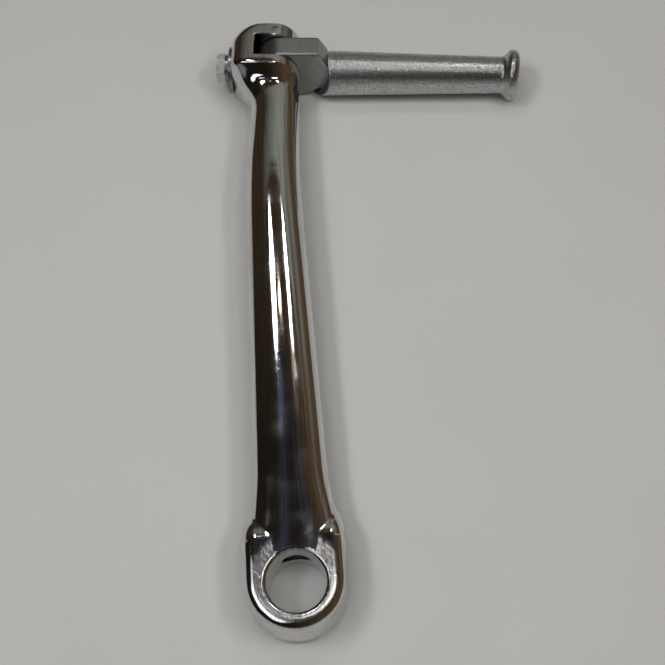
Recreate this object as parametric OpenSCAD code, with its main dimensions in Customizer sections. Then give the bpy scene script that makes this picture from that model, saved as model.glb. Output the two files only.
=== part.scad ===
// Folding kickstart lever. A forged and chromed arm has a shaft boss with a cotter hole at one end and
// a clevis at the other. A zinc-plated pedal swings in the clevis on a pin. A sprung ball, held by a
// hollow bolt in the clevis's solid cheek, keeps the pedal folded.
// The origin is the centre of the shaft bore on the boss's inner face. +Z is the bore's axis, +X is the
// way the folded pedal points and +Y runs along the arm's upper stretch. All sizes are in millimetres.

/* [Boss] */
// Diameter of the shaft bore
bore_d = 19.05; // [14:0.05:21]
// Bevel round the bore's outer edge
bore_bevel = 0.7; // [0.2:0.1:2]
// Height of the boss along the shaft
boss_h = 20.4; // [18:0.2:25]
// Width of the boss across the edge of its outer face
boss_w = 31.2; // [30:0.1:36]
// Width of the crowned border of that face
boss_crown = 3.5; // [1:0.1:4.2]
// Radius of that crown
crown_r = 5.5; // [4.5:0.1:8]
// Forging draft of the boss's sides, in degrees
draft = 4.5; // [0:0.1:8]
// Rounding of the boss's lower edge
foot_round = 4.8; // [1:0.1:5]
// How far the eye's middle lies from the bore's, toward the arm
eye_back = 0.8; // [0:0.1:1.5]
// How far the forged boss lies from the bore's middle, toward the bolt's side
eye_side = 0.3; // [0:0.1:1]
// Rounding of the cotter boss's ends
barrel_round = 4.6; // [1:0.1:6]
// Diameter of the cotter hole
cotter_d = 10.2; // [7:0.1:11]
// How deep the cotter hole cuts into the bore
cotter_bite = 0.9; // [0.5:0.1:2.5]

/* [Arm] */
// Distance along the arm from the bore to the pedal's pivot
reach = 201.5; // [160:0.5:250]
// Distance from the pivot back to the arm's knee
knee_back = 53.5; // [44:0.5:75]
// Sideways set of the upper stretch from the bore
side_set = 15.2; // [6:0.1:26]
// Height of the bar's middle at the knee
knee_rise = 16.5; // [14:0.1:20]
// Height of the bar's middle at the neck of the clevis
neck_rise = 13.9; // [12:0.1:16]
// Width of the bar at the boss
root_w = 30.6; // [26:0.2:31.4]
// Thickness of the bar at the boss
root_t = 19.1; // [15:0.1:20.6]
// Width of the bar where its flare into the boss begins
flare_w = 25.2; // [20:0.2:29]
// Width of the bar at the knee
knee_w = 20; // [16:0.2:23]
// Thickness of the bar at the knee
knee_t = 17.4; // [14:0.2:20]
// Width of the bar at the neck of the clevis
neck_w = 18.2; // [14:0.2:20]
// Thickness of the bar at the neck of the clevis
neck_t = 16.3; // [13:0.1:18]
// Sideways set of the neck from the knee
neck_set = 0.8; // [0:0.1:3]

/* [Clevis] */
// Height of the clevis
clevis_h = 26.6; // [26:0.2:32]
// Thickness of the solid cheek between the bolt's seat and the slot
cheek_t = 8.9; // [8:0.1:13]
// Length of the ears past the pivot
ear_past = 6; // [5.4:0.1:9]
// Thickness of the ear at the arm's side
near_ear_t = 6; // [4.5:0.1:8]
// Thickness of the ear at the free end
far_ear_t = 6.4; // [4.5:0.1:9]
// Rounding of the solid cheek's far corner
cheek_round = 9.2; // [3:0.1:10]
// Rounding of the clevis's end
clevis_round = 2.2; // [1:0.1:4]

/* [Pedal] */
// Length of the pedal from its pivot to its end
pedal_l = 91.2; // [75:0.2:120]
// Thickness of the flat tongue
tongue_t = 8.8; // [7:0.1:11]
// Gap between the tongue and each ear
tongue_gap = 0.2; // [0.1:0.05:0.4]
// Radius of the tongue's nose round the pivot
nose_r = 10.6; // [9:0.1:11]
// Gap between the nose and the slot's end
nose_gap = 0.3; // [0.2:0.05:0.5]
// Length of the tongue's top from the pivot to its bevel
tongue_l = 13.5; // [11:0.1:15]
// Height of the bevel from the tongue's top down to the shank
bevel_h = 6.4; // [4:0.1:8]
// Radius of the shoulder round the pivot, where the shank begins
shoulder_r = 17.4; // [16:0.1:20]
// Diameter of the shank at the shoulder
shank_d = 17.2; // [14.5:0.1:18.4]
// Diameter of the shank at the flange
shank_end_d = 13.9; // [10:0.1:16]
// How far the shank's axis is set from the tongue's middle, toward the boss
shank_set = 0.5; // [0:0.1:1]
// Diameter of the end flange
flange_d = 19.4; // [18.5:0.1:24]
// Cant of the end flange about the vertical, in degrees
flange_cant = 3.5; // [0:0.5:6]
// Thickness of the end flange
flange_t = 5; // [3.5:0.1:8]

/* [Pivot and detent] */
// Height of the pivot above the boss's inner face
pivot_z = 14.9; // [14:0.1:15.6]
// Diameter of the pivot pin
pin_d = 6.35; // [5:0.05:8]
// Running clearance of the pin in the tongue, all round
pin_fit = 0.05; // [0.02:0.01:0.1]
// Height of the bolt's axis above the boss's inner face
bolt_z = 11.2; // [10:0.1:12]
// Thread diameter of the bolt
bolt_d = 6; // [5.6:0.1:7]
// Hexagon of the bolt's head, across its flats
bolt_af = 10; // [9.5:0.1:13]
// Height of the bolt's head
bolt_head_h = 3.3; // [2.5:0.1:5]
// Diameter of the hollow in the bolt
bolt_bore_d = 3.9; // [3.5:0.05:4.2]
// Outside diameter of the plain washer
washer_d = 17.6; // [13:0.2:18.6]
// How far the plain washer hangs down on the bolt
washer_hang = 1; // [0.1:0.1:1.2]
// Thickness of the plain washer
washer_t = 1.7; // [1:0.1:2.5]
// Thickness of the spring washer
lock_t = 1.7; // [1:0.1:2.5]
// Radial width of the spring washer's section
lock_w = 2.1; // [1.2:0.1:2.4]
// Diameter of the detent ball
ball_d = 4.76; // [4.5:0.02:5.2]
// How far the ball is pushed back as the nose turns past it
ball_travel = 0.6; // [0.3:0.05:0.8]
// Wire diameter of the detent spring
wire_d = 0.5; // [0.3:0.05:0.7]

/* [Hidden] */

$fn = 64;
over = 1;                 // how far a cut runs past the face that it opens
seat_fit = 0.02;          // clearance of a pin or bolt in the hole that holds it, all round
ball_gap = 0.1;           // the ball stands this far off the nose, so that the pedal turns freely
slide_fit = 0.12;         // clearance of the ball and the spring in their bores, all round
end_gap = 0.1;            // small end gap that keeps touching faces apart

// Boss
bore_r = bore_d / 2;
edge_z = boss_h - crown_r + sqrt(pow(crown_r, 2) - pow(boss_crown, 2));
barrel_r = boss_h / 2;                                   // round cotter boss across the far side
barrel_l = boss_w + 2 * (edge_z - barrel_r) * tan(draft);    // flush with the boss's drafted sides
barrel_back = bore_r + cotter_d / 2 - cotter_bite;       // bore to cotter axis
knee_y = reach - knee_back;
lean = atan(side_set / knee_y);                          // the lower stretch leans this far from +Y
across = [cos(lean), sin(lean), 0];                      // direction of the cotter
along = [-sin(lean), cos(lean), 0];
cotter_middle = along * barrel_back - across * eye_side + [0, 0, barrel_r];

// Clevis and pivot
pivot_x = -side_set + 1.7;                               // the pin goes in just right of the bar's middle
slot_end_x = pivot_x - nose_r - nose_gap;
seat_x = slot_end_x - cheek_t;                           // flat seat of the plain washer
slot_w = tongue_t + 2 * tongue_gap;
slot_near_y = reach - slot_w / 2;
slot_far_y = reach + slot_w / 2;
clevis_near_y = slot_near_y - near_ear_t;
clevis_end_y = slot_far_y + far_ear_t;
ear_x = pivot_x + ear_past;
neck_y = clevis_near_y - 9;                              // the bar starts to swell here
seat_skim = 0.6;                                         // forged stock that the seat's facing takes off
foot_skim = 0.4;                                         // and the same under the clevis

// Pedal
pedal_end_x = pivot_x + pedal_l;
shank_y = reach - shank_set;
shank_z = flange_d / 2;                                  // the flange lies level with the boss's face
heel_gap = 0.3;                                          // the tongue's heel stands this far off the table
flange_x = pedal_end_x - flange_t;

// Detent
ball_r = ball_d / 2;
ball_off = nose_r + ball_gap + ball_r;                   // ball to pivot
ball_x = pivot_x - sqrt(pow(ball_off, 2) - pow(pivot_z - bolt_z, 2));
ball_bore_d = ball_d + 2 * slide_fit;
bolt_bore_r = bolt_bore_d / 2;
ball_back_x = ball_x - sqrt(pow(ball_r, 2) - pow(bolt_bore_r, 2));
tip_gap = 0.3;                                           // left between the ball and the bolt's tip
bolt_tip_x = ball_back_x - ball_travel - tip_gap;
washer_x = seat_x - washer_t;
lock_x = washer_x - lock_t;
bolt_hollow_x = lock_x - 0.8;                            // floor of the bolt's hollow, inside the head
coil_r = bolt_bore_r - slide_fit - wire_d / 2;           // middle of the spring's wire

// Forging loft: each table gives one edge of the bar's section against y, and spans round its corners
root_y = cotter_middle.y;
root_margin = 0.1;                                       // the bar's root stays inside the cotter boss
root_x = cotter_middle.x + barrel_l / 2 - root_margin - root_w / 2;
root_foot_z = 1.7;                                       // the bar's underside clears the boss's inner face
root_start_y = root_y - 5;                               // the bar's end, buried in the boss
crest_y = root_y + 5;                                    // the bar's top has risen clear of the boss here
crest_proud = 0.1;                                       // its top at the bore, above the boss's face
flare_y = root_y + 20;                                   // the bar's flare into the boss begins here
flare_x = lookup(flare_y, [[0, 0], [knee_y, -side_set]]);
neck_x = -side_set - neck_set;
cheek_y = slot_near_y - 2.5;                             // the cheek has its full width from here on
brow_y = clevis_near_y + 3;                              // the near ear has its full height from here on
LEFT = [
    [root_y, root_x - root_w / 2], [flare_y, flare_x - flare_w / 2],
    [knee_y, -side_set - knee_w / 2], [neck_y, neck_x - neck_w / 2],
    [cheek_y, seat_x - seat_skim], [clevis_end_y, seat_x - seat_skim]
];
RIGHT = [
    [root_y, root_x + root_w / 2], [flare_y, flare_x + flare_w / 2],
    [knee_y, -side_set + knee_w / 2], [neck_y, neck_x + neck_w / 2],
    [cheek_y, ear_x], [clevis_end_y, ear_x]
];
TOP = [
    [root_start_y, boss_h + crest_proud], [crest_y, root_foot_z + root_t], [knee_y, knee_rise + knee_t / 2],
    [neck_y, neck_rise + neck_t / 2], [clevis_near_y - 2, neck_rise + neck_t / 2],
    [brow_y, clevis_h], [clevis_end_y, clevis_h]
];
FOOT = [
    [root_y, root_foot_z], [knee_y, knee_rise - knee_t / 2],
    [neck_y, neck_rise - neck_t / 2], [clevis_near_y + 2, -foot_skim], [clevis_end_y, -foot_skim]
];
// Roundness of the section's left and right halves: 2 is an ellipse and more is squarer
SQUARE_BAR = [[root_y, 3.2], [flare_y, 2.8], [knee_y, 2.1], [neck_y, 2.1]];
SQUARE_LEFT = concat(SQUARE_BAR, [[cheek_y, 4.5], [slot_far_y, 4.5], [clevis_end_y, 3.4]]);
SQUARE_RIGHT = concat(SQUARE_BAR, [[cheek_y, 2.7], [slot_far_y, 2.7], [clevis_end_y, 3.4]]);
SPAN = [[root_y, 9], [flare_y, 11], [knee_y, 32], [neck_y - 12, 14], [neck_y, 7], [cheek_y, 4]];

SIDES = 32;                                              // points round each section
STATIONS = concat(
    [for (i = [0:5]) root_start_y + (flare_y - root_start_y) * i / 6],
    [for (i = [0:12]) flare_y + (neck_y - flare_y) * i / 13],
    [for (i = [0:13]) neck_y + (slot_near_y - neck_y) * i / 14],
    [for (i = [0:3]) slot_near_y + (clevis_end_y - clevis_round - slot_near_y) * i / 4],
    [for (i = [0:6]) clevis_end_y - clevis_round * (1 - sin(15 * i))]
);

// Mean of a table's straight pieces over a span, which rounds its corners
function eased(table, y) =
    let (
        span = lookup(y, SPAN),
        parts = 10,
        values = [for (k = [0:parts]) lookup(y + span * (k / parts - 0.5), table)]
    )
    values * [for (v = values) 1] / (parts + 1);

// How far an edge rounded to r has drawn in at y, near the clevis's end
function drawn_in(y, r) =
    let (past = max(0, y - (clevis_end_y - r)))
    r - sqrt(max(0, pow(r, 2) - pow(past, 2)));

// A power that keeps its number's sign
function signed_pow(v, power) = sign(v) * pow(abs(v), power);

// One section of the forging at y: a rounded shape between its left, right, top and foot edges
function section(y) =
    let (
        inset = drawn_in(y, clevis_round),
        left = eased(LEFT, y) + drawn_in(y, cheek_round),
        right = eased(RIGHT, y) - inset,
        top = eased(TOP, y) - inset,
        foot = eased(FOOT, y) + inset,
        middle = [(left + right) / 2, (top + foot) / 2],
        half = [(right - left) / 2, (top - foot) / 2]
    )
    [
        for (i = [0:SIDES - 1])
            let (
                a = 360 * i / SIDES,
                power = 2 / lookup(y, cos(a) < 0 ? SQUARE_LEFT : SQUARE_RIGHT)
            )
            [
                middle.x + half.x * signed_pow(cos(a), power),
                y,
                middle.y + half.y * signed_pow(sin(a), power)
            ]
    ];

// A closed skin over a row of sections that have the same count of points
module loft(rows) {
    count = len(rows[0]);
    last = (len(rows) - 1) * count;
    sides = [
        for (r = [0:len(rows) - 2], i = [0:count - 1])
            let (
                a = r * count + i,
                b = r * count + (i + 1) % count
            )
            each [[a, b, b + count], [a, b + count, a + count]]
    ];
    caps = [
        [for (i = [count - 1:-1:0]) i],
        [for (i = [0:count - 1]) last + i]
    ];
    polyhedron(points = [for (row = rows) each row], faces = concat(sides, caps), convexity = 8);
}

// A box profile from -w/2 to w/2 and from 0 to h, with rounded corners
module round_box(w, h, r) {
    translate([-w / 2 + r, 0]) square([w - 2 * r, h]);
    translate([-w / 2, r]) square([w, h - 2 * r]);
    for (x = [-w / 2 + r, w / 2 - r], y = [r, h - r]) translate([x, y]) circle(r);
}

// Upright section of the boss: a top that curves down to an edge, drafted sides and a rounded foot
module boss_section() {
    half = boss_w / 2;
    top_half = half - (boss_h - edge_z) * tan(draft);
    foot_half = half + edge_z * tan(draft) - foot_round * (1 + sin(draft)) / cos(draft);
    side = [foot_half + foot_round * cos(draft), foot_round * (1 + sin(draft))];
    intersection() {
        union() {
            polygon([
                [-foot_half, 0], [foot_half, 0], side, [top_half, boss_h], [-top_half, boss_h],
                [-side.x, side.y]
            ]);
            for (s = [-1, 1]) translate([s * foot_half, foot_round]) circle(foot_round);
        }
        union() {
            translate([-half + boss_crown, 0]) square([boss_w - 2 * boss_crown, boss_h]);
            translate([-boss_w, 0]) square([2 * boss_w, boss_h - crown_r]);
            for (s = [-1, 1]) translate([s * (half - boss_crown), boss_h - crown_r]) circle(crown_r);
        }
    }
}

// The right half of a profile, for turning about its middle
module right_half(w, h) {
    intersection() {
        children();
        square([w, h]);
    }
}

// A rod along +X from x0 to x1, on the line y, z
module rod_x(x0, x1, d, y, z) {
    translate([x0, y, z]) rotate([0, 90, 0]) cylinder(d = d, h = x1 - x0);
}

// A rod along +Y from y0 to y1, on the line x, z
module rod_y(y0, y1, d, x, z) {
    translate([x, y0, z]) rotate([-90, 0, 0]) cylinder(d = d, h = y1 - y0);
}

// Round eye, straight sides and a round cotter boss across the far side
module boss_body() {
    rotate([0, 0, lean]) {
        translate([-eye_side, eye_back, 0]) rotate_extrude() right_half(boss_w, boss_h) boss_section();
        translate([-eye_side, barrel_back, 0])
            rotate([90, 0, 0])
                linear_extrude(barrel_back - eye_back)
                    boss_section();
        translate([-eye_side - barrel_l / 2, barrel_back, barrel_r])
            rotate([0, 90, 0])
                rotate_extrude()
                    right_half(boss_h, barrel_l)
                        round_box(boss_h, barrel_l, barrel_round);
    }
}

module shaft_bore() {
    translate([0, 0, -over]) cylinder(r = bore_r, h = boss_h + 2 * over);
    translate([0, 0, boss_h - bore_bevel])
        cylinder(r1 = bore_r, r2 = bore_r + bore_bevel + over, h = bore_bevel + over);
}

module cotter_hole() {
    translate(cotter_middle - across * (barrel_l / 2 + over))
        rotate([0, 90, lean])
            cylinder(d = cotter_d, h = barrel_l + 2 * over);
}

// Slot for the tongue, open at the free side, above and below
module clevis_slot() {
    translate([slot_end_x, slot_near_y, -over])
        cube([ear_x - slot_end_x + side_set, slot_w, clevis_h + 2 * over]);
}

// Faces the bolt's seat and the foot of the clevis flat
module facing_cuts() {
    cut_l = clevis_end_y - neck_y + 2 * over;
    translate([seat_x - 2 * over, neck_y, -over])
        cube([2 * over, cut_l, clevis_h + 2 * over]);
    translate([seat_x - 2 * over, neck_y, -2 * over])
        cube([ear_x - seat_x + side_set, cut_l, 2 * over]);
}

module pin_hole() {
    rod_y(clevis_near_y, clevis_end_y + over, pin_d + 2 * seat_fit, pivot_x, pivot_z);
}

// Threaded seat of the bolt, then the ball's bore through to the slot
module detent_hole() {
    rod_x(seat_x - over, bolt_tip_x + end_gap, bolt_d + 2 * seat_fit, reach, bolt_z);
    rod_x(bolt_tip_x - over, slot_end_x + over, ball_bore_d, reach, bolt_z);
}

module arm() {
    color("#c9cccf")
        difference() {
            union() {
                boss_body();
                loft([for (y = STATIONS) section(y)]);
            }
            shaft_bore();
            cotter_hole();
            clevis_slot();
            facing_cuts();
            pin_hole();
            detent_hole();
        }
}

// Side outline of the tongue, with the pivot at its origin
function tongue_outline() =
    let (
        heel_z = heel_gap - pivot_z,
        heel_x0 = nose_r * 0.35,
        heel_x1 = tongue_l * 0.55,
        shank_mid = shank_z - pivot_z,
        belly = [tongue_l + 1, shank_mid - shank_d / 4],
        buried = [shoulder_r + 2, shank_mid],
        bevel_run = bevel_h / 2
    )
    concat(
        [for (a = [90:6:252]) nose_r * [cos(a), sin(a)]],
        [
            [heel_x0, heel_z], [heel_x1, heel_z], belly, buried,
            [tongue_l + bevel_run, nose_r - bevel_h], [tongue_l, nose_r]
        ]
    );

module tongue() {
    translate([pivot_x, reach + tongue_t / 2, pivot_z])
        rotate([90, 0, 0])
            linear_extrude(tongue_t)
                polygon(tongue_outline());
}

// Tapered shank and flange, turned about the shank's axis
module shank() {
    back = shoulder_r * 0.4;                             // how far the cone runs back inside the shoulder
    root_at = pivot_x + shoulder_r - back;
    taper = (shank_d - shank_end_d) / 2 / (flange_x - pivot_x - shoulder_r);
    root_r = shank_d / 2 + taper * back;
    rim_r = flange_t / 2;
    translate([0, shank_y, shank_z])
        rotate([0, 90, 0])
            rotate_extrude()
                polygon([
                    [0, root_at], [root_r, root_at], [shank_end_d / 2, flange_x + rim_r],
                    [0, flange_x + rim_r]
                ]);
    translate([flange_x + rim_r, shank_y, shank_z])
        rotate([0, 90, -flange_cant])
            rotate_extrude() {
                translate([0, -rim_r]) square([flange_d / 2 - rim_r, flange_t]);
                translate([flange_d / 2 - rim_r, 0]) circle(rim_r);
            }
}

module shoulder_cut() {
    rod_y(reach - shank_d, reach + shank_d, 2 * shoulder_r, pivot_x, pivot_z);
}

// The hollow in the nose that the ball drops into with the pedal folded
module nose_dimple() {
    translate([ball_x + ball_gap + ball_travel, reach, bolt_z]) sphere(ball_r);
}

module pedal() {
    color("#9a9c9d")
        difference() {
            union() {
                tongue();
                difference() {
                    shank();
                    shoulder_cut();
                }
            }
            rod_y(slot_near_y, slot_far_y, pin_d + 2 * pin_fit, pivot_x, pivot_z);
            nose_dimple();
        }
}

module pivot_pin() {
    color("#85888a") rod_y(clevis_near_y + end_gap, clevis_end_y, pin_d, pivot_x, pivot_z);
}

// Hexagon head with a bevelled outer face, and a hollow threaded shank
module detent_bolt() {
    corner_r = bolt_af / 2 / cos(30);
    head_x = lock_x - bolt_head_h;
    head_turn = 25;                                      // a corner stands this far off the vertical
    bevel_r = bolt_af / 2 + bolt_head_h * 1.7;           // bevels the head's outer corners at 30 degrees
    color("#d3d4d2")
        difference() {
            union() {
                intersection() {
                    translate([head_x, reach, bolt_z])
                        rotate([head_turn, 0, 0])
                            rotate([0, 90, 0])
                                rotate([0, 0, 90])
                                    cylinder(r = corner_r, h = bolt_head_h, $fn = 6);
                    translate([head_x, reach, bolt_z])
                        rotate([0, 90, 0])
                            cylinder(r1 = bolt_af / 2, r2 = bevel_r, h = bolt_head_h);
                }
                rod_x(lock_x - over, bolt_tip_x, bolt_d, reach, bolt_z);
            }
            rod_x(bolt_hollow_x, bolt_tip_x + over, bolt_bore_d, reach, bolt_z);
        }
}

// Split ring of square wire
module spring_washer() {
    inner_r = bolt_d / 2 + slide_fit;
    split = 1.2;
    split_turn = 60;
    color("#6d6f70")
        translate([lock_x, reach, bolt_z])
            rotate([0, 90, 0])
                difference() {
                    cylinder(r = inner_r + lock_w, h = lock_t);
                    translate([0, 0, -over]) cylinder(r = inner_r, h = lock_t + 2 * over);
                    rotate([0, 0, split_turn])
                        translate([0, -split / 2, -over])
                            cube([inner_r + lock_w + over, split, lock_t + 2 * over]);
                }
}

// A loose washer that hangs on the bolt's thread
module plain_washer() {
    hole_d = bolt_d + 2 * (washer_hang + slide_fit);
    color("#8b8d8e")
        translate([washer_x, reach, bolt_z - washer_hang])
            rotate([0, 90, 0])
                difference() {
                    cylinder(d = washer_d, h = washer_t);
                    translate([0, 0, -over]) cylinder(d = hole_d, h = washer_t + 2 * over);
                }
}

// Round wire wound from the floor of the bolt's hollow to the back of the ball
module detent_spring() {
    turns = 6;
    steps = 12;
    start_x = bolt_hollow_x + wire_d / 2 + end_gap;
    stop_x = ball_x - sqrt(pow(ball_r + wire_d / 2 + end_gap, 2) - pow(coil_r, 2));
    wire_sides = 8;
    color("#77797a")
        loft([
            for (i = [0:turns * steps])
                let (
                    along = i / (turns * steps),
                    a = 360 * i / steps,
                    middle_x = start_x + (stop_x - start_x) * along
                )
                [
                    for (k = [0:wire_sides - 1])
                        let (
                            b = 360 * k / wire_sides,
                            r = coil_r + wire_d / 2 * cos(b)
                        )
                        [middle_x + wire_d / 2 * sin(b), reach + r * cos(a), bolt_z + r * sin(a)]
                ]
        ]);
}

module detent_ball() {
    color("#b4b6b8") translate([ball_x, reach, bolt_z]) sphere(ball_r);
}

arm();
pedal();
pivot_pin();
detent_bolt();
spring_washer();
plain_washer();
detent_spring();
detent_ball();
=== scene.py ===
"""Looks of the folding kickstart lever: a polished chrome forging with blended forms, a grainy zinc pedal
and its small hardware, lying on a plain pale table and seen from the photograph's angle.

The forging and the pedal are distance fields of the CAD sizes, in millimetres, with the fillets and softened
edges that such parts have. Each field is meshed in cells, and every point is then put on its surface."""
import math

import bpy
import numpy as np
from mathutils import Matrix, Vector


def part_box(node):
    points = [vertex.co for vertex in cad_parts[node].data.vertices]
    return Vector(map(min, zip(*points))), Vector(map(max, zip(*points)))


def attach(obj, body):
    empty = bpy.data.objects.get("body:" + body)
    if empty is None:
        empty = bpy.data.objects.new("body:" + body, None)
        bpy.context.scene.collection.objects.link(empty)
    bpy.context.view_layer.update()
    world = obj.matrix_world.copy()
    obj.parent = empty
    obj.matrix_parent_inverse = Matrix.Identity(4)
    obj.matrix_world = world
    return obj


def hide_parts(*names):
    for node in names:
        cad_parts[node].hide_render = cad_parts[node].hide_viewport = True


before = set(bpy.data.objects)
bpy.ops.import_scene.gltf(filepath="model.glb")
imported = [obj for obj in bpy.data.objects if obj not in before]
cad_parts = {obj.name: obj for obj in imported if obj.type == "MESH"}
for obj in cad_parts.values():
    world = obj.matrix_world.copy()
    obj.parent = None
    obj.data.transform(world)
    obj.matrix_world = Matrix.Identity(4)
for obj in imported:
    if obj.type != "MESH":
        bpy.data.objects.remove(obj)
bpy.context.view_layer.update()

MM = 0.001
SKIN = 0.05  # how far the round ends stay inside the facets of the CAD
OVER = 2  # how far a cut runs past the face that it opens

# Boss, as in the part's source
BORE_R, BORE_BEVEL = 9.525, 0.7
BOSS_H, BOSS_R, BARREL_ROUND = 20.4, 15.6, 4.6
BOSS_CROWN, CROWN_R, FOOT_ROUND = 3.5, 5.5, 4.8
DRAFT = math.radians(4.5)
EYE_BACK, EYE_SIDE = 0.8, 0.3
EDGE_Z = BOSS_H - CROWN_R + math.sqrt(CROWN_R ** 2 - BOSS_CROWN ** 2)
BARREL_HALF = BOSS_R + (EDGE_Z - BOSS_H / 2) * math.tan(DRAFT)
COTTER_R, COTTER_BITE = 5.1, 0.9
BARREL_BACK = BORE_R + COTTER_R - COTTER_BITE

# Arm
REACH, KNEE_Y, SIDE_SET, NECK_SET = 201.5, 148.0, 15.2, 0.8
KNEE_RISE, NECK_RISE = 16.5, 13.9
ROOT_W, ROOT_T, FLARE_W = 30.6, 19.1, 25.2
KNEE_W, KNEE_T, NECK_W, NECK_T = 20.0, 17.4, 18.2, 16.3
LEAN = math.atan(SIDE_SET / KNEE_Y)

# Pivot and clevis
PIVOT_X, PIVOT_Z = -13.5, 14.9
NOSE_R, NOSE_GAP, TONGUE_T, TONGUE_GAP = 10.6, 0.3, 8.8, 0.2
CHEEK_T, NEAR_EAR_T, FAR_EAR_T, EAR_PAST = 8.9, 6.0, 6.4, 6.0
CLEVIS_H, CLEVIS_ROUND, CHEEK_ROUND = 26.6, 2.2, 9.2
SEAT_SKIM, FOOT_SKIM = 0.6, 0.4
SLOT_END_X = PIVOT_X - NOSE_R - NOSE_GAP
SEAT_X = SLOT_END_X - CHEEK_T
EAR_X = PIVOT_X + EAR_PAST
SLOT_HALF = TONGUE_T / 2 + TONGUE_GAP
SLOT_FAR_Y = REACH + SLOT_HALF
CLEVIS_NEAR_Y = REACH - SLOT_HALF - NEAR_EAR_T
CLEVIS_END_Y = SLOT_FAR_Y + FAR_EAR_T
PIN_R, BOLT_R, BALL_BORE_R = 3.195, 3.02, 2.5
BOLT_Z, BOLT_TIP_X = 11.2, -28.2

# Pedal
PEDAL_L, SHANK_SET, HEEL_GAP = 91.2, 0.5, 0.3
SHOULDER_R, TONGUE_L, BEVEL_H = 17.4, 13.5, 6.4
SHANK_R, SHANK_END_R = 8.6, 6.95
FLANGE_R, FLANGE_T = 9.7, 5.0
FLANGE_CANT = math.radians(3.5)
FLANGE_MID_X = PIVOT_X + PEDAL_L - SKIN - FLANGE_T / 2
SHANK_Y, SHANK_Z = REACH - SHANK_SET, FLANGE_R
PEDAL_PIN_R = 3.225
BALL_R, BALL_GAP, BALL_TRAVEL = 2.38, 0.1, 0.6
BALL_X = PIVOT_X - math.sqrt((NOSE_R + BALL_GAP + BALL_R) ** 2 - (PIVOT_Z - BOLT_Z) ** 2)
DIMPLE_X = BALL_X + BALL_GAP + BALL_TRAVEL

# Forged blends and softened edges
BOSS_FILLET, CREST_FILLET = 3.0, 0.3
FILLET_FULL_Z, FILLET_THIN_Z = BOSS_H - 8, BOSS_H - 1.5
FLANGE_FILLET, SHOULDER_FILLET = 2.4, 0.7
CHROME_EDGE, SLOT_EDGE, BOSS_EDGE = 0.45, 0.15, 0.8
BORE_EDGE, COTTER_EDGE, HOLE_EDGE = 0.35, 0.4, 0.1
ZINC_EDGE, TONGUE_EDGE = 0.6, 1.1

# Places along the bar
ROOT_Y = BARREL_BACK * math.cos(LEAN) - EYE_SIDE * math.sin(LEAN)
ROOT_MARGIN, ROOT_FOOT_Z, CREST_PROUD = 0.1, 1.7, 0.1
COTTER_X = -BARREL_BACK * math.sin(LEAN) - EYE_SIDE * math.cos(LEAN)
ROOT_X = COTTER_X + BARREL_HALF - ROOT_MARGIN - ROOT_W / 2
ROOT_START_Y, CREST_Y, FLARE_Y = ROOT_Y - 5, ROOT_Y + 5, ROOT_Y + 20
FLARE_X = float(np.interp(FLARE_Y, [0, KNEE_Y], [0, -SIDE_SET]))
NECK_X, NECK_Y = -SIDE_SET - NECK_SET, CLEVIS_NEAR_Y - 9
SWELL_Y, BROW_Y = CLEVIS_NEAR_Y - 2, CLEVIS_NEAR_Y + 2.2
CHEEK_Y, SOLE_Y = REACH - SLOT_HALF - 2.5, CLEVIS_NEAR_Y + 2
FINE_Y = np.linspace(0, CLEVIS_END_Y + 5, 4400)

# Length over which the bar's edges are rounded at a place
SPAN = [
    (ROOT_Y, 9), (FLARE_Y, 11), (KNEE_Y, 32), (NECK_Y - 12, 14), (NECK_Y, 7), (CLEVIS_NEAR_Y, 4),
    (BROW_Y, 1.5), (CHEEK_Y, 3)]


def eased(table):
    """A fine copy of a table of (y, value), with its corners rounded."""
    ys, values = np.array(table).T
    share, samples = 0.75, 81
    reach = share * np.interp(FINE_Y, *np.array(SPAN).T)
    step = np.linspace(-1, 1, samples)
    weight = 1 - np.abs(step)
    return np.interp(FINE_Y[:, None] + reach[:, None] * step, ys, values) @ (weight / weight.sum())


# Edges of the bar's section against y, and how square its halves are: 2 is an ellipse
LEFT = eased([
    (ROOT_Y, ROOT_X - ROOT_W / 2), (FLARE_Y, FLARE_X - FLARE_W / 2), (KNEE_Y, -SIDE_SET - KNEE_W / 2),
    (NECK_Y, NECK_X - NECK_W / 2), (CHEEK_Y, SEAT_X - SEAT_SKIM), (CLEVIS_END_Y, SEAT_X - SEAT_SKIM)])
RIGHT = eased([
    (ROOT_Y, ROOT_X + ROOT_W / 2), (FLARE_Y, FLARE_X + FLARE_W / 2), (KNEE_Y, -SIDE_SET + KNEE_W / 2),
    (NECK_Y, NECK_X + NECK_W / 2), (CHEEK_Y, EAR_X), (CLEVIS_END_Y, EAR_X)])
TOP = eased([
    (ROOT_START_Y, BOSS_H + CREST_PROUD), (CREST_Y, ROOT_FOOT_Z + ROOT_T),
    (KNEE_Y, KNEE_RISE + KNEE_T / 2), (NECK_Y, NECK_RISE + NECK_T / 2), (SWELL_Y, NECK_RISE + NECK_T / 2),
    (BROW_Y, CLEVIS_H), (CLEVIS_END_Y, CLEVIS_H)])
FOOT = eased([
    (ROOT_Y, ROOT_FOOT_Z), (KNEE_Y, KNEE_RISE - KNEE_T / 2), (NECK_Y, NECK_RISE - NECK_T / 2),
    (SOLE_Y, -FOOT_SKIM), (CLEVIS_END_Y, -FOOT_SKIM)])
SQUARE_BAR = [(ROOT_Y, 3.2), (FLARE_Y, 2.8), (KNEE_Y, 2.1), (NECK_Y, 2.1)]
SQUARE_LEFT = eased(SQUARE_BAR + [(CHEEK_Y, 4.5), (SLOT_FAR_Y, 4.5), (CLEVIS_END_Y, 3.4)])
SQUARE_RIGHT = eased(SQUARE_BAR + [(CHEEK_Y, 2.5), (SLOT_FAR_Y, 2.4), (CLEVIS_END_Y, 2.4)])


def at(table, y):
    """Value of an eased table at y."""
    return np.interp(y, FINE_Y, table)


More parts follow.
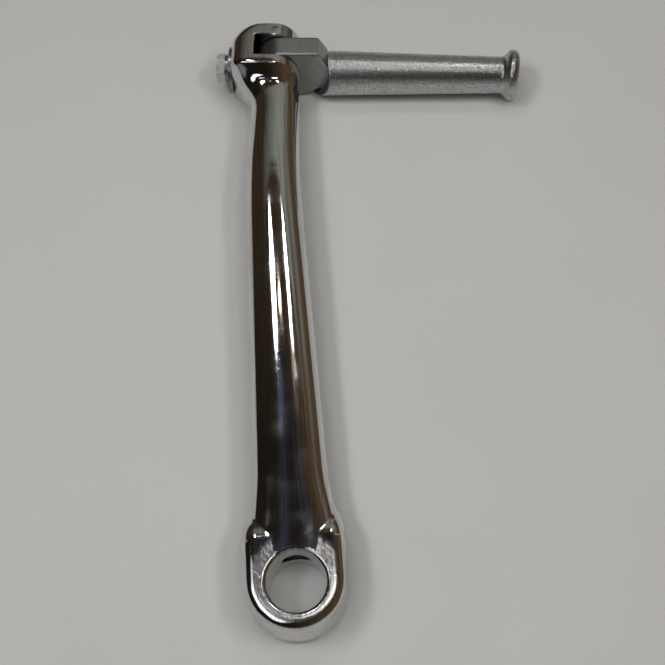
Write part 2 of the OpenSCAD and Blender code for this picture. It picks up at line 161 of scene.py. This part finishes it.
def blend(a, b, k):
    """Union of two fields with a fillet of about k."""
    h = np.clip(0.5 + 0.5 * (b - a) / k, 0, 1)
    return b + (a - b) * h - k * h * (1 - h)


def cut(a, b, k):
    """What of a stays outside the hollow b (b is positive inside the hollow), its edge softened by k."""
    return -blend(-a, -b, k)


def rounded(a, b, r):
    """Field of a corner where the faces a and b meet in a rounding r."""
    a, b = a + r, b + r
    return np.hypot(np.maximum(a, 0), np.maximum(b, 0)) + np.minimum(np.maximum(a, b), 0) - r


def drawn_in(y, r):
    """How far an edge rounded to r has drawn in at y, near the clevis's end."""
    past = np.clip(y - (CLEVIS_END_Y - r), 0, r)
    return r - np.sqrt(r * r - past * past)


def bar(x, y, z):
    """The bar and the clevis block: a rounded section between four edges that change along y."""
    tiny = 1e-6
    inset = drawn_in(y, CLEVIS_ROUND)
    left, right = at(LEFT, y) + drawn_in(y, CHEEK_ROUND), at(RIGHT, y) - inset
    top, foot = at(TOP, y) - inset, at(FOOT, y) + inset
    half_x, half_z = (right - left) / 2, (top - foot) / 2
    u = (x - (left + right) / 2) / half_x
    w = (z - (top + foot) / 2) / half_z
    power = np.where(u < 0, at(SQUARE_LEFT, y), at(SQUARE_RIGHT, y))
    u, w = np.abs(u) + tiny, np.abs(w) + tiny
    size = (u ** power + w ** power) ** (1 / power)
    slope = np.hypot((u / size) ** (power - 1) / half_x, (w / size) ** (power - 1) / half_z)
    return np.maximum(np.maximum((size - 1) / slope, y - CLEVIS_END_Y), ROOT_START_Y - y)


def boss_axes(x, y):
    """Places across and along the boss, which leans with the lower stretch of the arm."""
    return x * math.cos(LEAN) + y * math.sin(LEAN), y * math.cos(LEAN) - x * math.sin(LEAN)


def crowned(out, z):
    """Section of the boss: a flat face that curves down to an edge, a drafted side and a rounded foot."""
    least = 0.01
    rise = z - BOSS_H
    past = np.maximum(out + BOSS_CROWN, 0)
    face = np.where(past > 0, np.hypot(past, np.maximum(rise + CROWN_R, least)) - CROWN_R, rise)
    side = out * math.cos(DRAFT) + (z - EDGE_Z) * math.sin(DRAFT)
    return cut(face, rounded(side, -z, FOOT_ROUND), BOSS_EDGE)


def boss(x, y, z):
    """Round eye, straight sides and a round cotter boss across the far side."""
    across, along = boss_axes(x, y)
    eye = crowned(np.hypot(across + EYE_SIDE, along - EYE_BACK) - BOSS_R + SKIN, z)
    straight = np.maximum(EYE_BACK - along, along - BARREL_BACK)
    block = np.maximum(crowned(np.abs(across + EYE_SIDE) - BOSS_R, z), straight)
    round_off = np.hypot(along - BARREL_BACK, z - BOSS_H / 2) - BOSS_H / 2
    barrel = rounded(np.abs(across + EYE_SIDE) - BARREL_HALF, round_off, BARREL_ROUND)
    return np.minimum(np.minimum(eye, block), barrel)


def arm_field(x, y, z):
    """The forging with its bores, slot and faced seats."""
    fillet = np.interp(z, [FILLET_FULL_Z, FILLET_THIN_Z], [BOSS_FILLET, CREST_FILLET])
    solid = blend(bar(x, y, z), boss(x, y, z), fillet)
    radius = np.hypot(x, y)
    bevel = (BORE_R - radius + z - (BOSS_H - BORE_BEVEL)) * math.sqrt(0.5)
    solid = cut(solid, np.maximum(BORE_R - radius, bevel), BORE_EDGE)
    _, along = boss_axes(x, y)
    solid = cut(solid, COTTER_R - np.hypot(along - BARREL_BACK, z - BOSS_H / 2), COTTER_EDGE)
    slot = np.minimum(x - SLOT_END_X, SLOT_HALF - np.abs(y - REACH))
    solid = cut(solid, slot, SLOT_EDGE)
    solid = cut(solid, SEAT_X - x, CHROME_EDGE)
    solid = cut(solid, -z, CHROME_EDGE)
    pin = np.minimum(PIN_R - np.hypot(x - PIVOT_X, z - PIVOT_Z), y - CLEVIS_NEAR_Y)
    solid = cut(solid, pin, HOLE_EDGE)
    bolt_r = np.where(x < BOLT_TIP_X, BOLT_R, BALL_BORE_R)
    bolt = np.minimum(bolt_r - np.hypot(y - REACH, z - BOLT_Z), SLOT_END_X + OVER - x)
    return cut(solid, bolt, HOLE_EDGE)


def polygon(x, z, points):
    """Field of a flat outline."""
    away = np.full(np.broadcast(x, z).shape, np.inf)
    sign = np.ones(away.shape)
    for (ax, az), (bx, bz) in zip(points, points[-1:] + points[:-1]):
        ex, ez = bx - ax, bz - az
        wx, wz = x - ax, z - az
        t = np.clip((wx * ex + wz * ez) / (ex * ex + ez * ez), 0, 1)
        away = np.minimum(away, (wx - ex * t) ** 2 + (wz - ez * t) ** 2)
        above, below, turn = z >= az, z < bz, ex * wz > ez * wx
        flip = (above & below & turn) | (~above & ~below & ~turn)
        sign = np.where(flip, -sign, sign)
    return sign * np.sqrt(away)


# Side outline of the tongue, with the pivot at its origin
SHANK_MID = SHANK_Z - PIVOT_Z
HEEL_Z = HEEL_GAP - PIVOT_Z
HEEL_FROM, HEEL_TO = NOSE_R * 0.35, TONGUE_L * 0.55
NOSE_END = math.radians(252)
TONGUE = [
    (0, NOSE_R), (0, 0), (NOSE_R * math.cos(NOSE_END), NOSE_R * math.sin(NOSE_END)),
    (HEEL_FROM, HEEL_Z), (HEEL_TO, HEEL_Z), (TONGUE_L + 1, SHANK_MID - SHANK_R / 2),
    (SHOULDER_R + 2, SHANK_MID), (TONGUE_L + BEVEL_H / 2, NOSE_R - BEVEL_H), (TONGUE_L, NOSE_R)]


def pedal_field(x, y, z):
    """Flat tongue, tapered shank and canted flange, with the pin's hole and the ball's dimple."""
    px, pz = x - PIVOT_X, z - PIVOT_Z
    from_pivot = np.hypot(px, pz)
    taper = (SHANK_R - SHANK_END_R) / (FLANGE_MID_X - FLANGE_T / 2 - PIVOT_X - SHOULDER_R)
    radius = SHANK_R - taper * (px - SHOULDER_R)
    shank = (np.hypot(y - SHANK_Y, z - SHANK_Z) - radius) / math.hypot(1, taper)
    shank = np.maximum(np.maximum(shank, x - FLANGE_MID_X), -px)
    shank = cut(shank, SHOULDER_R - from_pivot, ZINC_EDGE)
    outline = np.minimum(from_pivot - NOSE_R, polygon(px, pz, TONGUE))
    tongue = cut(outline, np.abs(y - REACH) - TONGUE_T / 2, TONGUE_EDGE)
    fx, fy = x - FLANGE_MID_X, y - SHANK_Y
    along = fx * math.cos(FLANGE_CANT) - fy * math.sin(FLANGE_CANT)
    out = np.sqrt(np.maximum(fx ** 2 + fy ** 2 + (z - SHANK_Z) ** 2 - along ** 2, 0))
    rim = FLANGE_T / 2
    flange = np.hypot(np.maximum(out - (FLANGE_R - rim), 0), along) - rim
    solid = blend(blend(shank, tongue, SHOULDER_FILLET), flange, FLANGE_FILLET)
    solid = cut(solid, PEDAL_PIN_R - from_pivot, HOLE_EDGE)
    hollow = BALL_R - np.sqrt((x - DIMPLE_X) ** 2 + (y - REACH) ** 2 + (z - BOLT_Z) ** 2)
    return cut(solid, hollow, HOLE_EDGE)


def gradient(field, p, h):
    """Slope of a field at points, from steps of h to either side."""
    x, y, z = p.T
    return np.stack([
        field(x + h, y, z) - field(x - h, y, z),
        field(x, y + h, z) - field(x, y - h, z),
        field(x, y, z + h) - field(x, y, z - h)], axis=1) / (2 * h)


def sampled(field, axes):
    """Values of a field on a grid, worked out in slabs to save memory."""
    x, y, z = axes[0][:, None, None], axes[1][None, :, None], axes[2][None, None, :]
    rows = 64
    slabs = [field(x, y[:, i:i + rows], z).astype(np.float32) for i in range(0, y.size, rows)]
    return np.concatenate(slabs, axis=1)


def surface_cells(field, low, high, cell):
    """Points and quads of a surface net: one point for each cell that the surface crosses."""
    before, after = 1.5 * cell, 2 * cell
    axes = [np.arange(a - before, b + after, cell) for a, b in zip(low, high)]
    grid = sampled(field, axes)
    inside = grid < 0
    size = np.array(grid.shape) - 1
    corners = [(i, j, k) for i in (0, 1) for j in (0, 1) for k in (0, 1)]
    filled = sum(
        inside[i:i + size[0], j:j + size[1], k:k + size[2]].astype(np.int8) for i, j, k in corners)
    cells = np.argwhere((filled > 0) & (filled < len(corners)))
    number = np.full(size, -1)
    number[tuple(cells.T)] = np.arange(len(cells))
    place, crossings = np.zeros((len(cells), 3)), np.zeros(len(cells))
    for c in corners:
        for axis in range(3):
            if c[axis]:
                continue
            d = np.array(c)
            d[axis] = 1
            a, b = (grid[tuple((cells + corner).T)] for corner in (c, d))
            crossed = (a < 0) != (b < 0)
            t = np.where(crossed, a / np.where(crossed, a - b, 1), 0)
            step = np.array(c) + t[:, None] * (d - np.array(c))
            place += np.where(crossed[:, None], step, 0)
            crossings += crossed
    points = np.array([a[0] for a in axes]) + (cells + place / crossings[:, None]) * cell
    quads = []
    for axis in range(3):
        p, q = (axis + 1) % 3, (axis + 2) % 3
        ahead = np.roll(inside, -1, axis)
        edges = np.argwhere(inside != ahead)
        edges = edges[(edges[:, axis] < size[axis]) & (edges[:, p] > 0) & (edges[:, q] > 0)
                      & (edges[:, p] < size[p]) & (edges[:, q] < size[q])]
        ring = []
        for dp, dq in ((1, 1), (0, 1), (0, 0), (1, 0)):
            at_cell = edges.copy()
            at_cell[:, p] -= dp
            at_cell[:, q] -= dq
            ring.append(number[tuple(at_cell.T)])
        ring = np.stack(ring, axis=1)
        outward = inside[tuple(edges.T)]
        quads.append(np.where(outward[:, None], ring, ring[:, ::-1]))
    return points, np.concatenate(quads)


def field_mesh(name, field, low, high, cell):
    """A smooth mesh object of a field, with the field's own normals."""
    points, quads = surface_cells(field, low, high, cell)
    settle_rounds, settle_step, normal_step = 5, 0.02, 0.06
    least_slope, least_length = 0.2, 1e-9
    for _ in range(settle_rounds):
        slope = gradient(field, points, settle_step)
        move = field(*points.T) / np.maximum((slope ** 2).sum(1), least_slope)
        points = points - np.clip(move, -cell, cell)[:, None] * slope
    normals = gradient(field, points, normal_step)
    normals /= np.maximum(np.linalg.norm(normals, axis=1, keepdims=True), least_length)
    mesh = bpy.data.meshes.new(name)
    mesh.from_pydata((points * MM).tolist(), [], quads.tolist())
    mesh.shade_smooth()
    mesh.normals_split_custom_set_from_vertices(normals.tolist())
    made = bpy.data.objects.new(name, mesh)
    bpy.context.scene.collection.objects.link(made)
    return made


class Nodes:
    """Short ways to make and join nodes of one tree."""

    def __init__(self, tree):
        self.tree = tree

    def make(self, kind, links=None, **settings):
        node = self.tree.nodes.new(kind)
        for key, value in settings.items():
            setattr(node, key, value)
        for key, value in (links or {}).items():
            self.put(node.inputs[key], value)
        return node

    def put(self, socket, value):
        if isinstance(value, bpy.types.NodeSocket):
            self.tree.links.new(value, socket)
        else:
            socket.default_value = value

    def place(self, scale=(1, 1, 1), turn=(0, 0, 0)):
        """Places on the part in millimetres, stretched by scale and turned."""
        coords = self.make("ShaderNodeTexCoord").outputs["Object"]
        stretch = tuple(s / MM for s in scale)
        turned = self.make("ShaderNodeMapping", {"Vector": coords, "Rotation": turn})
        return self.make("ShaderNodeMapping", {"Vector": turned.outputs[0], "Scale": stretch}).outputs[0]

    def length(self, vector):
        return self.make("ShaderNodeVectorMath", {0: vector}, operation="LENGTH").outputs["Value"]

    def noise(self, vector, scale, detail=2.0, rough=0.5):
        return self.make("ShaderNodeTexNoise", {
            "Vector": vector, "Scale": scale, "Detail": detail, "Roughness": rough}).outputs["Fac"]

    def ramp(self, value, low, high, start, end):
        return self.make("ShaderNodeMapRange", {
            "Value": value, "From Min": low, "From Max": high, "To Min": start, "To Max": end}).outputs[0]

    def band(self, value, rise, fall):
        """1 between a rise and a fall, each a pair of values, and 0 outside them."""
        return self.math("MULTIPLY", self.ramp(value, *rise, 0, 1), self.ramp(value, *fall, 1, 0))

    def math(self, operation, a, b):
        node = self.make("ShaderNodeMath", operation=operation)
        self.put(node.inputs[0], a)
        self.put(node.inputs[1], b)
        return node.outputs[0]

    def mix(self, amount, a, b):
        node = self.make("ShaderNodeMix", data_type="RGBA")
        self.put(node.inputs["Factor"], amount)
        self.put(node.inputs["A"], a)
        self.put(node.inputs["B"], b)
        return node.outputs["Result"]

    def bump(self, height, strength, distance, normal=None):
        links = {"Height": height, "Strength": strength, "Distance": distance}
        if normal:
            links["Normal"] = normal
        return self.make("ShaderNodeBump", links).outputs[0]


def shader(name):
    """A new material, its node maker and its main shader."""
    material = bpy.data.materials.new(name)
    material.use_nodes = True
    return material, Nodes(material.node_tree), material.node_tree.nodes["Principled BSDF"]


def chrome_material():
    """Bright streaky plate with faint waves and hairline scratches, scuffed dull on the boss's flat face."""
    material, n, main = shader("polished_chrome")
    main.inputs["Metallic"].default_value = 1.0
    height = n.make("ShaderNodeSeparateXYZ", {0: n.place()}).outputs["Z"]
    level = n.band(height, (BOSS_H - 0.25, BOSS_H - 0.1), (BOSS_H + 0.03, BOSS_H + 0.06))
    from_bore = n.length(n.place((1, 1, 0)))
    face = n.math("MULTIPLY", level, n.ramp(from_bore, BOSS_R - 1, BOSS_R + 1, 1, 0))
    haze = n.noise(n.place(), 0.11, 3)
    drawn = n.noise(n.place((1.6, 0.03, 0.5), (0, 0, -LEAN)), 1.0, 3, 0.6)
    plate = n.mix(n.ramp(drawn, 0.35, 0.62, 0, 1), (0.56, 0.53, 0.50, 1), (0.70, 0.71, 0.73, 1))
    n.put(main.inputs["Base Color"], plate)
    hairs = n.noise(n.place((3.2, 0.16, 1.2), (0, 0, 0.6)), 1.0, 4, 0.6)
    crossed = n.noise(n.place((0.2, 3.0, 1.2), (0, 0, 0.25)), 1.0, 4, 0.6)
    scratch = n.math("MAXIMUM", n.ramp(hairs, 0.62, 0.74, 0, 1), n.ramp(crossed, 0.64, 0.76, 0, 1))
    polish = n.math("ADD", n.ramp(haze, 0.35, 0.75, 0.03, 0.13), n.math("MULTIPLY", scratch, 0.06))
    scuffs = n.noise(n.place((0.4, 1.3, 1), (0, 0, 0.7)), 1.0, 4, 0.6)
    dull = n.ramp(scuffs, 0.35, 0.7, 0.08, 0.22)
    n.put(main.inputs["Roughness"], n.math("ADD", polish, n.math("MULTIPLY", face, dull)))
    waves = n.noise(n.place((1, 0.25, 1)), 0.22, 1)
    soft = n.bump(waves, 0.25, 0.05 * MM)
    n.put(main.inputs["Normal"], n.bump(scratch, 0.06, 0.02 * MM, soft))
    return material


def zinc_material():
    """Dull grainy plate on the shank, and smoother plate on the tongue inside the shoulder, coloured darker
    there as painted shade of the clevis slot.
    """
    material, n, main = shader("grainy_zinc")
    main.inputs["Metallic"].default_value = 1.0
    pivot = (PIVOT_X * MM, 0, PIVOT_Z * MM)
    to_mm = (1 / MM, 0, 1 / MM)
    coords = n.make("ShaderNodeTexCoord").outputs["Object"]
    spot = n.make("ShaderNodeVectorMath", {0: coords, 1: pivot}, operation="SUBTRACT").outputs[0]
    flat = n.make("ShaderNodeVectorMath", {0: spot, 1: to_mm}, operation="MULTIPLY").outputs[0]
    shank = n.ramp(n.length(flat), SHOULDER_R - 0.3, SHOULDER_R + 0.2, 0, 1)
    blotch = n.noise(n.place(), 0.35, 4)
    grain = n.noise(n.place(), 1.2, 3, 0.6)
    plate = n.mix(n.ramp(grain, 0.36, 0.66, 0, 1), (0.34, 0.35, 0.36, 1), (0.66, 0.66, 0.64, 1))
    # Painted shade: the tongue, which sits in the clevis slot, takes a darker colour than the shank.
    tongue = n.mix(n.ramp(blotch, 0.3, 0.72, 0, 1), (0.30, 0.31, 0.31, 1), (0.38, 0.38, 0.37, 1))
    n.put(main.inputs["Base Color"], n.mix(shank, tongue, plate))
    rough = n.math("ADD", n.ramp(grain, 0.3, 0.7, 0.34, 0.26), n.ramp(shank, 0, 1, 0.06, 0))
    n.put(main.inputs["Roughness"], rough)
    height = n.math("MULTIPLY", grain, n.ramp(shank, 0, 1, 0.15, 1))
    n.put(main.inputs["Normal"], n.bump(height, 0.7, 0.16 * MM))
    return material


def hardware_material(name, pale, dark, low, high):
    """Plated or bare steel with soft blotches and a very fine grain."""
    material, n, main = shader(name)
    main.inputs["Metallic"].default_value = 1.0
    blotch = n.noise(n.place(), 0.6, 3)
    n.put(main.inputs["Base Color"], n.mix(n.ramp(blotch, 0.3, 0.7, 0, 1), pale, dark))
    grain = n.noise(n.place(), 1.2, 2)
    n.put(main.inputs["Roughness"], n.ramp(blotch, 0.3, 0.7, low, high))
    n.put(main.inputs["Normal"], n.bump(grain, 0.05, 0.03 * MM))
    return material


def dress(node, material, edge):
    """Gives a CAD node a material of its own and breaks its sharp edges."""
    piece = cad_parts[node]
    piece.data.materials.clear()
    piece.data.materials.append(material)
    bevel = piece.modifiers.new("broken_edges", "BEVEL")
    bevel.width = edge * MM
    bevel.segments = 2
    bevel.limit_method = "ANGLE"
    bevel.angle_limit = math.radians(35)
    bevel.harden_normals = True


def floor():
    """A plain pale table, wide enough to reach the horizon."""
    mesh = bpy.data.meshes.new("table")
    half = 12.0
    corners = [(-half, -half, 0), (half, -half, 0), (half, half, 0), (-half, half, 0)]
    mesh.from_pydata(corners, [], [(0, 1, 2, 3)])
    made = bpy.data.objects.new("table", mesh)
    bpy.context.scene.collection.objects.link(made)
    material, n, main = shader("pale_table")
    tint = n.noise(n.place(), 0.02, 3)
    n.put(main.inputs["Base Color"], n.mix(tint, (0.43, 0.43, 0.415, 1), (0.46, 0.46, 0.445, 1)))
    main.inputs["Roughness"].default_value = 0.85
    made.data.materials.append(material)


def soft_box(name, turn, rise, away, size, glow, tint=(1, 1, 1), in_mirrors=True):
    """A soft oval light that faces the lever's middle.

    It stands at a compass turn off +Y and a rise above the table, both in degrees. Its glow is the brightness
    that a mirror shows."""
    middle = Vector((-0.008, 0.1, 0.02))
    turn, rise = math.radians(turn), math.radians(rise)
    back = Vector((math.sin(turn) * math.cos(rise), math.cos(turn) * math.cos(rise), math.sin(rise)))
    lamp = bpy.data.lights.new(name, "AREA")
    lamp.shape = "ELLIPSE"
    lamp.size, lamp.size_y = size
    lamp.energy = glow * math.pi * size[0] * size[1] * math.pi / 4
    lamp.color = tint
    made = bpy.data.objects.new(name, lamp)
    made.location = middle + back * away
    made.rotation_euler = back.to_track_quat("Z", "Y").to_euler()
    made.visible_glossy = in_mirrors
    bpy.context.scene.collection.objects.link(made)


def room():
    """A dim brown room for the chrome to mirror: lighter to the right and streaked overhead, with pale walls
    ahead and low behind the camera."""
    world = bpy.data.worlds.new("room")
    world.use_nodes = True
    bpy.context.scene.world = world
    n = Nodes(world.node_tree)
    direction = n.make("ShaderNodeTexCoord").outputs["Generated"]
    way = n.make("ShaderNodeSeparateXYZ", {0: direction})
    x, y, z = (way.outputs[axis] for axis in "XYZ")
    ahead = n.ramp(y, 0.2, 0.45, 0, 1)
    left = n.mix(ahead, (0.013, 0.011, 0.008, 1), (0.040, 0.028, 0.016, 1))
    sides = n.mix(n.ramp(x, -0.1, 0.7, 0, 1), left, (0.090, 0.060, 0.033, 1))
    lines = n.make("ShaderNodeMapping", {"Vector": direction, "Scale": (26, 1.5, 1)}).outputs[0]
    streaks = n.ramp(n.noise(lines, 1.0, 3), 0.38, 0.62, 0, 1)
    above = n.mix(streaks, (0.012, 0.009, 0.010, 1), (0.040, 0.042, 0.058, 1))
    walls = n.mix(n.ramp(z, 0.93, 0.985, 0, 1), sides, above)
    low = n.math("MULTIPLY", n.band(x, (-0.2, 0.0), (0.3, 0.5)), ahead)
    low = n.math("MULTIPLY", low, n.ramp(z, 0.42, 0.54, 1, 0))
    walls = n.mix(low, walls, (0.21, 0.22, 0.20, 1))
    right = n.math("MULTIPLY", n.band(x, (0.42, 0.52), (0.68, 0.84)), n.band(z, (0.3, 0.46), (0.58, 0.72)))
    walls = n.mix(n.math("MULTIPLY", right, ahead), walls, (0.19, 0.175, 0.15, 1))
    near = n.math("MULTIPLY", n.ramp(y, -0.75, -0.5, 1, 0), n.ramp(z, 0.3, 0.42, 1, 0))
    walls = n.mix(near, walls, (0.20, 0.21, 0.22, 1))
    far = n.math("MULTIPLY", n.band(z, (0.48, 0.56), (0.78, 0.83)), n.band(x, (-0.52, 0.1), (0.42, 0.54)))
    walls = n.mix(n.math("MULTIPLY", far, ahead), walls, (0.26, 0.275, 0.24, 1))
    n.put(world.node_tree.nodes["Background"].inputs["Color"], walls)


def camera():
    """The photograph's view, from its focal length in pixels and the camera's own axes."""
    frame_px, focal_px, sensor = 665, 1100, 36
    place = (0.020069, -0.068984, 0.362177)
    right = (0.99938, 0.02926, -0.01981)
    up = (-0.01857, 0.91188, 0.41003)
    back = (0.03007, -0.40941, 0.91186)
    lens = bpy.data.cameras.new("camera")
    lens.sensor_width = sensor
    lens.lens = focal_px / frame_px * sensor
    made = bpy.data.objects.new("camera", lens)
    made.matrix_world = Matrix.Translation(place) @ Matrix((right, up, back)).transposed().to_4x4()
    bpy.context.scene.collection.objects.link(made)
    bpy.context.scene.camera = made


# Forged pieces, which stand for the CAD's arm and pedal
ARM_CELL, PEDAL_CELL = ((0.5, 0.4))
arm_low, arm_high = ([c / MM for c in corner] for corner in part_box("arm"))
arm = field_mesh("forged_arm", arm_field, arm_low, arm_high, ARM_CELL)
arm.data.materials.append(chrome_material())
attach(arm, "arm")
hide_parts("arm")

pedal_low, pedal_high = ([c / MM for c in corner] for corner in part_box("pedal"))
pedal = field_mesh("forged_pedal", pedal_field, pedal_low, pedal_high, PEDAL_CELL)
pedal.data.materials.append(zinc_material())
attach(pedal, "pedal")
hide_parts("pedal")

# Hardware, whose CAD shapes stay
BOLT_BREAK, WASHER_BREAK, WIRE_BREAK = 0.2, 0.15, 0.01
bright = hardware_material("bright_zinc", (0.56, 0.56, 0.55, 1), (0.47, 0.47, 0.45, 1), 0.16, 0.26)
steel = hardware_material("plain_steel", (0.30, 0.30, 0.30, 1), (0.20, 0.19, 0.18, 1), 0.25, 0.45)
dress("detent_bolt", bright, BOLT_BREAK)
for node in ("plain_washer", "spring_washer", "pivot_pin"):
    dress(node, steel, WASHER_BREAK)
for node in ("detent_spring", "detent_ball"):
    dress(node, steel, WIRE_BREAK)

# Table, room and camera, then the lights that the chrome mirrors and those that only light the table
floor()
room()
camera()
soft_box("left_lamp", -28.5, 64, 0.9, (0.115, 0.19), 11)
soft_box("right_lamp", 27, 61, 0.9, (0.085, 0.20), 11)
soft_box("warm_lamp", -10.4, 67.8, 0.9, (0.036, 0.04), 4, (1, 0.84, 0.68))
soft_box("blue_card", -29, 73.5, 0.9, (0.10, 0.09), 0.10, (0.35, 0.55, 1))
soft_box("amber_card", 24, 70, 0.9, (0.05, 0.07), 0.4, (1, 0.68, 0.42))
for turn in (-101, -124, -147):
    soft_box("near_light", turn, 58, 0.8, (0.25, 0.28), 1.6, (0.95, 0.96, 1))
soft_box("top_light", 90, 82, 0.787, (0.11, 0.24), 4.2, (1, 0.98, 0.94))
soft_box("bolt_light", -104, 79.7, 0.783, (0.08, 0.08), 2.0)
soft_box("left_tube", -102, 65, 0.68, (0.25, 0.10), 20, in_mirrors=False)
soft_box("right_tube", 102, 61, 0.68, (0.25, 0.10), 18, in_mirrors=False)
soft_box("ceiling", 180, 76, 1.4, (1.2, 1.2), 1.6, in_mirrors=False)
bpy.context.scene.view_settings.view_transform = "Standard"
